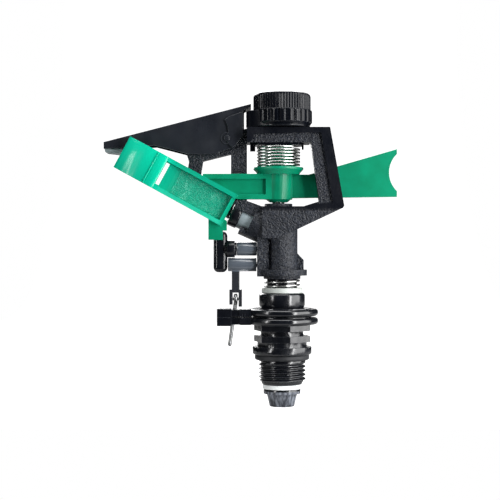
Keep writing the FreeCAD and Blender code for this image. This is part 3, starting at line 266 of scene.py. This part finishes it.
def spoon_relief_and_painted_light(tree, shader, where):
    """The spoon's face and skin are painted paler than the arm as painted light; its floor is a darker
    green with a coarse bumped skin, painted glints in patches and painted shade in its hollows, with
    painted shade behind the slot and on the upper rim and a painted highlight on the lower rim.
    """
    parts = new_node(tree, "SeparateXYZ", {"Vector": where})
    shifted = new_node(tree, "VectorMath", {0: where, 1: (SPOON_START[0] * MM, 0, SPOON_START[1] * MM)},
                       operation="SUBTRACT").outputs["Vector"]
    reach = (-math.cos(SPOON_RISE) / MM, 0, math.sin(SPOON_RISE) / MM)
    rise = (math.sin(SPOON_RISE) / MM, 0, math.cos(SPOON_RISE) / MM)
    along = new_node(tree, "VectorMath", {0: shifted, 1: reach}, operation="DOT_PRODUCT").outputs["Value"]
    across = new_node(tree, "VectorMath", {0: shifted, 1: rise}, operation="DOT_PRODUCT").outputs["Value"]
    height = new_node(tree, "Math", {0: across}, operation="ABSOLUTE").outputs[0]

    def both(a, b):
        return times(tree, a, b)

    narrow = spread(tree, height, 8.1, 7.9)
    in_length = both(spread(tree, along, SPOON_FLOOR[0], SPOON_FLOOR[0] + 0.4),
                     spread(tree, along, SPOON_FLOOR[1], SPOON_FLOOR[1] - 0.8))
    near_floor = spread(tree, parts.outputs["Y"], FLOOR_FRONT[0] * MM, FLOOR_FRONT[1] * MM)
    floor = both(both(in_length, spread(tree, height, *FLOOR_EDGE)), near_floor)
    on_spoon = both(both(spread(tree, along, -1.0, 2.0), narrow),
                    spread(tree, parts.outputs["Y"], SPOON_BACK[0] * MM, SPOON_BACK[1] * MM))
    skin = both(on_spoon, spread(tree, along, SPOON_FLOOR[1], SPOON_FLOOR[1] + 3))
    base = shader.inputs["Base Color"].links[0].from_socket
    # painted light: the spoon's face, and more so its skin, painted paler than the arm where the light
    # falls on them
    pale = blend_colour(tree, both(on_spoon, 0.75), base, (0.002, 0.42, 0.26))
    pale = blend_colour(tree, both(skin, 0.6), pale, (0.002, 0.5, 0.315))
    pale = blend_colour(tree, both(floor, 0.8), pale, (0.001, 0.27, 0.165))
    crinkle = noise_at(tree, where, 1.5, 5.0, 0.7, distortion=1.6)
    # painted highlights: pale glints in patches along the floor
    highlight_patches = spread(tree, noise_at(tree, where, 4.5, 3.0), 0.42, 0.62)
    turned = new_node(tree, "Math", {0: along, 1: math.tau / CELL}, operation="MULTIPLY").outputs[0]
    wave = new_node(tree, "Math", {0: turned}, operation="SINE").outputs[0]
    highlight_patches = both(highlight_patches, spread(tree, wave, -0.6, 0.3))
    painted_glints = both(both(spread(tree, crinkle, 0.5, 0.66), highlight_patches), floor)
    pale = blend_colour(tree, both(painted_glints, 0.8), pale, (0.18, 0.62, 0.47))
    # painted shade in the recess between the floor and the slot
    between = both(spread(tree, along, SPOON_FLOOR[1] - 0.8, SPOON_FLOOR[1]),
                   spread(tree, along, SPOON_SLOT, SPOON_SLOT - 0.5))
    slot_recess_shade = both(between, spread(tree, height, *FLOOR_EDGE))
    pale = blend_colour(tree, both(slot_recess_shade, 0.6), pale, (0.001, 0.22, 0.13))
    before_slot = spread(tree, along, SPOON_SLOT, SPOON_SLOT - 3)
    # painted shade along the upper rim
    upper_rim_shade = both(both(spread(tree, across, 5.7, 6.0), on_spoon), before_slot)
    pale = blend_colour(tree, both(upper_rim_shade, 0.5), pale, (0.001, 0.2, 0.12))
    # painted highlight along the lower rim
    lower_rim_highlight = both(both(spread(tree, across, -5.8, -6.1), on_spoon), before_slot)
    pale = blend_colour(tree, both(lower_rim_highlight, 0.35), pale, (0.04, 0.5, 0.34))
    # painted shade in the floor's hollows
    shade = both(both(floor, spread(tree, crinkle, 0.5, 0.34)), 0.55)
    pale = blend_colour(tree, shade, pale, (0.002, 0.2, 0.12))
    tree.links.new(pale, shader.inputs["Base Color"])
    glossy = blend_colour(tree, skin, (0.33, 0.33, 0.33), (0.2, 0.2, 0.2))
    tree.links.new(glossy, shader.inputs["Roughness"])
    relief = both(crinkle, floor)
    below = shader.inputs["Normal"].links[0].from_socket
    tree.links.new(bump_on(tree, relief, 0.5, 1.0, below), shader.inputs["Normal"])


# each edge_highlight colour is a painted highlight along the part's edges
mats = {
    "sleeve": moulded("sleeve_black", rough=0.2, edge_highlight=(0.05, 0.055, 0.065), specular=0.62, **BLACK),
    "tube": moulded("tube_black", rough=0.2, edge_highlight=(0.05, 0.055, 0.065), specular=0.62, extra=painted_reflection_end,
                    **BLACK),
    "collar": moulded("collar_black", rough=0.19, edge_highlight=(0.04, 0.045, 0.055), specular=0.62, **BLACK),
    "body": grained("body_grain", dark=(0.003, 0.0038, 0.0065), light=(0.018, 0.022, 0.032), rough=0.33,
                    grain_mm=0.85, depth=0.4, rim_mm=RIM_FRONT, rim_top_mm=RIM_TOP, specular=0.3),
    "flap": moulded("flap_black", dark=(0.0075, 0.009, 0.0125), light=(0.013, 0.015, 0.02), rough=0.33,
                    edge_highlight=(0.10, 0.11, 0.125), blotch_mm=14, specular=0.36),
    "knob": moulded("knob_black", rough=0.2, edge_highlight=(0.035, 0.04, 0.05), specular=0.2,
                    dark=(0.0015, 0.002, 0.0035), light=(0.003, 0.0037, 0.006)),
    "hammer": moulded("hammer_black", rough=0.2, edge_highlight=(0.05, 0.055, 0.06), scratch=0.006, **BLACK),
    "arm": moulded("arm_green", dark=GREEN_DARK, light=GREEN_LIGHT, rough=0.33, grain_depth=0.004,
                   specular=0.26, edge_highlight=(0.01, 0.42, 0.26), rough_spread=0.06, extra=spoon_relief_and_painted_light),
    "grey": moulded("grey_nylon", dark=(0.20, 0.245, 0.27), light=(0.27, 0.32, 0.345), rough=0.42,
                    edge_highlight=(0.4, 0.44, 0.46), grain_depth=0.01),
    "barrel": moulded("trip_grey", dark=(0.06, 0.072, 0.09), light=(0.09, 0.106, 0.128), rough=0.2,
                      rough_spread=0.04, coat=0.35, specular=0.7, edge_highlight=(0.2, 0.22, 0.24), scratch=0.004,
                      extra=below_black),
    "ivory": moulded("ivory_washer", dark=(0.4, 0.425, 0.4), light=(0.5, 0.53, 0.505), rough=0.45),
    "white": moulded("white_seal", dark=(0.84, 0.88, 0.88), light=(0.93, 0.95, 0.95), rough=0.4),
    # painted light: the lip is pale grey where the black plastic is lit
    "lip": moulded("flap_lip_lit_grey", dark=(0.17, 0.215, 0.22), light=(0.25, 0.3, 0.31), rough=0.4),
    "rubber": moulded("gasket_rubber", dark=(0.008, 0.009, 0.011), light=(0.02, 0.021, 0.024), rough=0.55,
                      grain_depth=0.02),
    "steel": metal("spring_wire", (0.4, 0.41, 0.4), (0.66, 0.67, 0.65), 0.24),
    "wire": metal("trip_wire_steel", (0.16, 0.165, 0.17), (0.34, 0.345, 0.35), 0.3),
    "pin": metal("pin_steel", (0.36, 0.36, 0.37), (0.6, 0.6, 0.6), 0.28),
}

FINISH = {
    "bearing_sleeve": "sleeve", "inlet_gasket": "rubber",
    "upper_collar": "collar", "lower_collar": "collar",
    "nipple_tube": "tube", "lower_seal_washer": "white", "upper_washer": "ivory",
    "bearing_spring": "steel", "sprinkler_body": "body", "nozzle_insert": "grey", "nozzle_tip": "hammer",
    "arm_axle": "pin", "thrust_bush": "hammer", "spring_hanger": "knob", "arm_spring": "steel",
    "flap_pin": "flap", "knob_screw": "pin", "hammer_post": "barrel", "hammer_pin": "pin",
    "lever_pin": "pin", "drive_arm": "arm", "arm_bush": "white", "deflector_flap": "flap",
    "deflector_knob": "knob", "trip_hammer": "hammer", "trip_spring": "steel", "trip_lever": "barrel",
    "wire_pin": "pin", "trip_wire": "steel",
}
BEVELS = {"sprinkler_body": 0.35, "drive_arm": 0.3, "deflector_flap": 0.3, "trip_hammer": 0.5,
          "trip_lever": 0.25, "bearing_sleeve": 0.2, "upper_collar": 0.3, "lower_collar": 0.3,
          "hammer_post": 0.4, "nozzle_insert": 0.25, "nozzle_tip": 0.4, "spring_hanger": 0.2,
          "nipple_tube": 0.3}


def round_edges(thing, width_mm, angle=32):
    """Small rounded edges by modifiers, so the mesh itself isn't changed."""
    weld = thing.modifiers.new("weld", "WELD")
    weld.merge_threshold = WELD * MM
    bevel = thing.modifiers.new("edges", "BEVEL")
    bevel.width = width_mm * MM
    bevel.segments = 2
    bevel.limit_method = "ANGLE"
    bevel.angle_limit = math.radians(angle)
    bevel.harden_normals = True
    bevel.use_clamp_overlap = True


for node, finish in FINISH.items():
    thing = nodes[node]
    thing.data.materials.clear()
    thing.data.materials.append(mats[finish])
    if node in BEVELS:
        round_edges(thing, BEVELS[node])


# ---- pieces built here ----

def add_piece(name, vertices, faces, finish, body, stands_for=(), smooth_angle=35):
    """A mesh in mm that rides on a body, and replaces the CAD nodes it stands for."""
    mesh = bpy.data.meshes.new(name)
    mesh.from_pydata([Vector(v) * MM for v in vertices], [], faces)
    builder = bmesh.new()
    builder.from_mesh(mesh)
    bmesh.ops.remove_doubles(builder, verts=builder.verts, dist=MERGE * MM)
    bmesh.ops.recalc_face_normals(builder, faces=builder.faces)
    builder.to_mesh(mesh)
    builder.free()
    mesh.materials.append(mats[finish])
    for face in mesh.polygons:
        face.use_smooth = True
    mesh.set_sharp_from_angle(angle=math.radians(smooth_angle))
    made = bpy.data.objects.new(name, mesh)
    scene.collection.objects.link(made)
    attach(made, body)
    if stands_for:
        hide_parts(*stands_for)
    return made


def extruded(outline, near, far):
    """A plate from an X-Z outline, between two depths."""
    count = len(outline)
    vertices = [(x, near, z) for x, z in outline] + [(x, far, z) for x, z in outline]
    faces = [list(range(count)), list(range(2 * count - 1, count - 1, -1))]
    faces += [[i, (i + 1) % count, count + (i + 1) % count, count + i] for i in range(count)]
    return vertices, faces


def lathed(profile, centre, axis, segments=96, wave=None):
    """A closed turned shape from (radius, height) pairs; wave gives what a radius gains at an angle."""
    axis = Vector(axis).normalized()
    side = axis.orthogonal().normalized()
    other = axis.cross(side)
    vertices, faces = [], []
    for radius, height in profile:
        for k in range(segments):
            turn = 2 * math.pi * k / segments
            reach = radius + (wave(height, turn) if wave else 0)
            vertices.append(Vector(centre) + axis * height
                            + (side * math.cos(turn) + other * math.sin(turn)) * reach)
    for i in range(len(profile) - 1):
        for k in range(segments):
            a, b = i * segments + k, i * segments + (k + 1) % segments
            faces.append([a, b, b + segments, a + segments])
    faces.append(list(range(segments - 1, -1, -1)))
    faces.append([(len(profile) - 1) * segments + k for k in range(segments)])
    return vertices, faces


def swept(points, radius, sides=16):
    """A round wire along points, with domed ends."""
    points = [Vector(p) for p in points]
    radii = [radius] * len(points)
    first, last = (points[0] - points[1]).normalized(), (points[-1] - points[-2]).normalized()
    dome = [(0.35, 0.93), (0.7, 0.71), (0.95, 0.3)]
    points = [points[0] + first * radius * a for a, _ in reversed(dome)] + points
    points = points + [last * radius * a + points[-1] for a, _ in dome]
    radii = [radius * r for _, r in reversed(dome)] + radii + [radius * r for _, r in dome]
    vertices, faces = [], []
    side = (points[1] - points[0]).orthogonal().normalized()
    for i, point in enumerate(points):
        along = (points[min(i + 1, len(points) - 1)] - points[max(i - 1, 0)]).normalized()
        side = (side - along * side.dot(along)).normalized()
        other = along.cross(side)
        for k in range(sides):
            turn = 2 * math.pi * k / sides
            vertices.append(point + (side * math.cos(turn) + other * math.sin(turn)) * radii[i])
    for i in range(len(points) - 1):
        for k in range(sides):
            a, b = i * sides + k, i * sides + (k + 1) % sides
            faces.append([a, b, b + sides, a + sides])
    faces.append(list(range(sides - 1, -1, -1)))
    faces.append([(len(points) - 1) * sides + k for k in range(sides)])
    return vertices, faces


def build_wire():
    """The trip wire: an eye round the clevis pin, then a leaning shank down to a domed foot."""
    x, y, z = middle("wire_pin")
    foot, radius, lean = bound("trip_wire", 2, 0), 0.85, math.radians(8)
    loop = 1.55                 # the eye's radius
    route = []
    for step in range(22):
        turn = math.radians(-60 - step * 14)
        route.append((x, y + loop * math.sin(turn + math.pi), z + loop * math.cos(turn + math.pi)))
    down = z - loop - 1.0
    while down > foot + radius + 0.3:
        route.append((x - (z - loop - down) * math.tan(lean), y, down))
        down -= 1.2
    route.append((x - (z - loop - foot - radius) * math.tan(lean), y, foot + radius + 0.1))
    vertices, faces = swept(route, radius)
    add_piece("wire_bent", vertices, faces, "wire", "wire", ["trip_wire"])


def build_spring(name, node, turns, wire, closed):
    """A coil whose end turns close up flat."""
    steps, pitch_share, start = 36, 0.96, 2.4
    low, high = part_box(node)
    x, y, _ = middle(node)
    mean = (high[0] - low[0]) / MM / 2 - wire / 2
    bottom, top = low[2] / MM + wire / 2, high[2] / MM - wire / 2
    route = []
    active = turns - 2 * closed
    for i in range(int(turns * steps) + 1):
        t = i / steps
        climb = min(max((t - closed) / active, 0), 1)
        rise = wire * pitch_share * (min(t, closed) + max(t - turns + closed, 0))
        height = bottom + rise + climb * (top - bottom - wire * pitch_share * 2 * closed)
        turn = 2 * math.pi * t + start
        route.append((x + mean * math.cos(turn), y + mean * math.sin(turn), height))
    vertices, faces = swept(route, wire / 2, 14)
    add_piece(name, vertices, faces, "steel", "rotor", [node])


def build_cheek():
    """The raised pad round the flap's pivot, with its stepped edge and the pivot's boss."""
    x, _, z = middle("flap_pin")
    face = bound("deflector_flap", 1, 0)
    right = bound("deflector_flap", 0, 1) - 3.2
    top = bound("deflector_flap", 2, 1)
    outline = [(x - 0.4, z + 1.2), (x + 0.6, z + 2.6), (x + 0.3, z + 5.4), (x - 1.0, z + 8.3),
               (x + 1.0, z + 9.6), (right - 0.4, top - 3.4), (right, top - 6.2), (right - 0.4, z + 1.2),
               (right - 3.4, z - 3.0), (x + 2.6, z - 4.4), (x + 0.4, z - 2.6)]
    vertices, faces = extruded(outline, face - 0.45, face + 0.3)
    pad = add_piece("flap_cheek_pad", vertices, faces, "flap", "flap")
    round_edges(pad, 0.22, 25)
    rings = [(0.0, -0.75), (1.1, -0.75), (1.2, -0.7), (1.25, -0.2), (1.3, 0.2), (0.0, 0.2)]
    vertices, faces = lathed([(max(r, 0.01), h) for r, h in rings], (x, face - 0.1, z), (0, 1, 0), 48)
    add_piece("flap_pivot_boss", vertices, faces, "flap", "flap")


def build_shroud():
    """The short black sleeve that hides the trip's over-centre spring."""
    x, y, z = middle("trip_spring")
    left, right = bound("trip_spring", 0, 0) - 0.15, bound("trip_spring", 0, 1) + 0.5
    wall = [(3.72, left - x), (3.78, left - x + 0.2), (3.78, right - x - 0.2), (3.7, right - x)]
    inner = [(3.64, right - x), (3.64, left - x)]
    segments = 64
    vertices, faces = lathed(wall + inner, (x, y, z), (1, 0, 0), segments)
    faces = faces[:-2]          # no end caps: the bore's last ring joins the wall's first
    last = (len(wall) + len(inner) - 1) * segments
    for k in range(segments):
        following = (k + 1) % segments
        faces.append([last + k, last + following, following, k])
    add_piece("trip_spring_sleeve", vertices, faces, "hammer", "hammer")


def build_knob():
    """The adjusting knob: fine ribs above, broad flutes below on its plain skirt."""
    low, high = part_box("deflector_knob")
    bottom, top = low[2] / MM, high[2] / MM
    step, base = top - 7.7, bottom + 2.0
    crown, skirt = 12.75, 13.42
    fine, broad = 66, 24

    def ribs(height, turn):
        if step + 0.3 < height < top - 1.2:
            return -0.22 * abs(math.sin(turn * fine / 2)) ** 1.5
        if base + 0.2 < height < step - 0.2:
            flute = math.cos(turn * broad)
            return -0.16 + 0.14 * flute - 0.5 * max(0.0, -flute - 0.72) / 0.28
        return 0.0

    profile = [(8.4, bottom + 0.15), (11.0, bottom + 0.1), (12.5, bottom + 0.9), (12.9, base - 0.2),
               (13.1, base), (skirt, base + 0.25), (skirt, base + 0.6),
               (skirt, step - 0.7), (skirt, step - 0.25),
               (skirt - 0.15, step), (crown + 0.02, step + 0.1), (crown, step + 0.35), (crown, step + 0.7),
               (crown, top - 1.7), (crown - 0.05, top - 1.25), (crown - 0.3, top - 0.7),
               (crown - 0.8, top - 0.25), (crown - 1.5, top - 0.04), (crown - 2.2, top), (9.6, top),
               (9.3, top - 0.25), (3.9, top - 0.25), (3.6, top - 0.4), (3.4, top - 2.1), (0.01, top - 2.1)]
    vertices, faces = lathed(profile, (0, 0, 0), (0, 0, 1), fine * broad // 2, ribs)
    add_piece("knob_grip", vertices, faces, "knob", "knob", ["deflector_knob"], 24)


def build_cam():
    """The knob's cam: a spiral lobe whose edge pushes the flap's heel, eased back into the grip."""
    low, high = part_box("deflector_knob")
    bottom, top = low[2] / MM + 0.1, high[2] / MM - 7.8
    foot, lobe, growth, sweep = 12.3, 15.95, 1.15, 100
    fall, rise_from = 40, 300   # degrees: the lobe falls away after the sweep, and rises again

    def eased(share):
        return (1 - math.cos(math.pi * share)) / 2

    outline = []
    for turn in range(0, 360, 3):
        back = (180 - turn) % 360
        if back <= sweep:
            radius = lobe + growth * back / sweep
        elif back <= sweep + fall:
            radius = lobe + growth + (foot - lobe - growth) * eased((back - sweep) / fall)
        elif back <= rise_from:
            radius = foot
        else:
            radius = foot + (lobe - foot) * eased((back - rise_from) / (360 - rise_from))
        outline.append((radius * math.cos(math.radians(turn)), radius * math.sin(math.radians(turn))))
    count = len(outline)
    rows = [(0.3, bottom), (0.0, bottom + 0.3), (0.0, top - 0.35), (0.35, top)]
    vertices = []
    for inset, height in rows:
        for across, deep in outline:
            scale = 1 - inset / math.hypot(across, deep)
            vertices.append((across * scale, deep * scale, height))
    faces = []
    for i in range(len(rows) - 1):
        for k in range(count):
            a, b = i * count + k, i * count + (k + 1) % count
            faces.append([a, b, b + count, a + count])
    faces.append(list(range(count - 1, -1, -1)))
    faces.append([(len(rows) - 1) * count + k for k in range(count)])
    add_piece("knob_cam_lobe", vertices, faces, "knob", "knob")


def build_crease():
    """The moulded crease across the spoon, between its skin and its slot."""
    half, steps = 7.3, 8
    route = []
    for step in range(steps + 1):
        across = half * (2 * step / steps - 1)
        x = SPOON_START[0] - SPOON_CREASE * math.cos(SPOON_RISE) + across * math.sin(SPOON_RISE)
        z = SPOON_START[1] + SPOON_CREASE * math.sin(SPOON_RISE) + across * math.cos(SPOON_RISE)
        route.append((x, ARM_FRONT + 0.22, z))
    vertices, faces = swept(route, 0.28, 12)
    add_piece("spoon_crease", vertices, faces, "arm", "arm")


def build_flap_lip():
    """The turned-in lip under the flap's tip, painted pale grey as painted light standing in for lit black
    plastic.
    """
    left, tip = bound("deflector_flap", 0, 0), FLAP_TIP_LEVEL
    outline = [(left + 0.3, tip), (left + 0.6, tip - 1.7), (left + 8.6, tip - 2.6), (left + 9.6, tip)]
    near, far = bound("deflector_flap", 1, 0) + 1.5, bound("deflector_flap", 1, 1) - 1.3
    vertices, faces = extruded(outline, near, far)
    lip = add_piece("flap_tip_lip", vertices, faces, "lip", "flap")
    round_edges(lip, 0.2, 25)


def build_arm_fillers():
    """Each collar's arm is thickened towards the other, so that only a slit shows between them."""
    upper, lower = middle("upper_collar")[2], middle("lower_collar")[2]
    between, slit, sunk = (upper + lower) / 2, 0.06, 1.1
    levels = {"upper_arm_filler": ("upper_ring", between + slit, upper - sunk),
              "lower_arm_filler": ("lower_ring", lower + sunk, between - slit)}
    left, right = GRIP_RIGHT - 0.3, KNUCKLE_RIGHT + 0.4
    for name, (body, low, high) in levels.items():
        outline = [(left, low), (right, low), (right, high), (left, high)]
        vertices, faces = extruded(outline, ARM_NEAR + 0.5, ARM_FAR - 0.2)
        filler = add_piece(name, vertices, faces, "collar", body)
        round_edges(filler, 0.25, 25)


build_arm_fillers()
build_crease()
build_flap_lip()
build_wire()
build_cheek()
build_shroud()
build_knob()
build_cam()
build_spring("arm_coil", "arm_spring", 6.5, 0.88, 0.4)
build_spring("bearing_coil", "bearing_spring", 1.9, 0.95, 0.25)


# ---- stage, light and camera ----

def stage_mesh(name, vertices, faces, finish):
    mesh = bpy.data.meshes.new(name)
    mesh.from_pydata([Vector(v) * MM for v in vertices], [], faces)
    mesh.materials.append(finish)
    for face in mesh.polygons:
        face.use_smooth = True
    made = bpy.data.objects.new(name, mesh)
    scene.collection.objects.link(made)
    return made


def paper():
    """White paper: it lights the object as a mid grey, and the camera sees it as white."""
    made, tree, shader, where = material("studio_paper")
    seen = new_node(tree, "LightPath").outputs["Is Camera Ray"]
    tone = noise_at(tree, where, 60, 3.0)
    tree.links.new(blend_colour(tree, tone, (0.42, 0.42, 0.42), (0.45, 0.45, 0.45)),
                   shader.inputs["Base Color"])
    shader.inputs["Roughness"].default_value = 0.9
    shader.inputs["Specular IOR Level"].default_value = 0.1
    shader.inputs["Emission Color"].default_value = (1, 1, 1, 1)
    tree.links.new(spread(tree, seen, 0, 1, 0.0, 0.97), shader.inputs["Emission Strength"])
    return made


def build_stage():
    """A floor that bends up into a wall behind the object."""
    floor = cad_low.z / MM
    half, front, back, bend, top = 260, -70, 700, 400, 1500
    steps = 16
    profile = [(front, floor)]
    for i in range(steps + 1):
        turn = math.radians(90 * i / steps)
        profile.append((back + bend * math.sin(turn), floor + bend * (1 - math.cos(turn))))
    profile.append((back + bend, top))
    vertices = [(side, y, z) for y, z in profile for side in (-half, half)]
    faces = [(2 * i, 2 * i + 1, 2 * i + 3, 2 * i + 2) for i in range(len(profile) - 1)]
    stage_mesh("studio_sweep", vertices, faces, paper())


def area_light(name, place, aim, width, height, power):
    """A soft box, placed and aimed in mm, that the camera doesn't see."""
    lamp = bpy.data.lights.new(name, "AREA")
    lamp.shape = "RECTANGLE"
    lamp.size, lamp.size_y = width * MM, height * MM
    lamp.energy = power
    made = bpy.data.objects.new(name, lamp)
    scene.collection.objects.link(made)
    made.location = Vector(place) * MM
    made.rotation_euler = (Vector(aim) - Vector(place)).to_track_quat("-Z", "Y").to_euler()
    made.visible_camera = False


def build_light():
    """Soft boxes in a dark room; the world is white only to the camera."""
    world = bpy.data.worlds.new("studio")
    scene.world = world
    world.use_nodes = True
    tree = world.node_tree
    background = tree.nodes["Background"]
    background.inputs["Color"].default_value = (1, 1, 1, 1)
    seen = new_node(tree, "LightPath").outputs["Is Camera Ray"]
    tree.links.new(spread(tree, seen, 0, 1, 0.03, 1.0), background.inputs["Strength"])
    area_light("top_box", (-60, -110, 520), (-20, 0, 70), 560, 300, 2.7)
    area_light("left_strip", (-400, -330, 160), (-60, 0, 80), 40, 420, 1.1)
    area_light("back_box", (-150, 520, 260), (0, 0, 60), 420, 300, 2.2)
    area_light("right_box", (440, -130, 40), (0, 0, 30), 420, 640, 4.6)
    area_light("right_strip", (300, -330, 60), (0, 0, 10), 80, 560, 2.4)


def build_camera():
    """A long lens, level with the middle of the object."""
    data = bpy.data.cameras.new("camera")
    data.sensor_width = 36
    data.lens = 88.8
    data.clip_start, data.clip_end = 0.01, 20
    made = bpy.data.objects.new("camera", data)
    scene.collection.objects.link(made)
    made.location = Vector((-14.24, -549, 48.7)) * MM
    made.rotation_euler = (math.radians(90), 0, 0)
    scene.camera = made


build_stage()
build_light()
build_camera()
scene.view_settings.view_transform = "Standard"
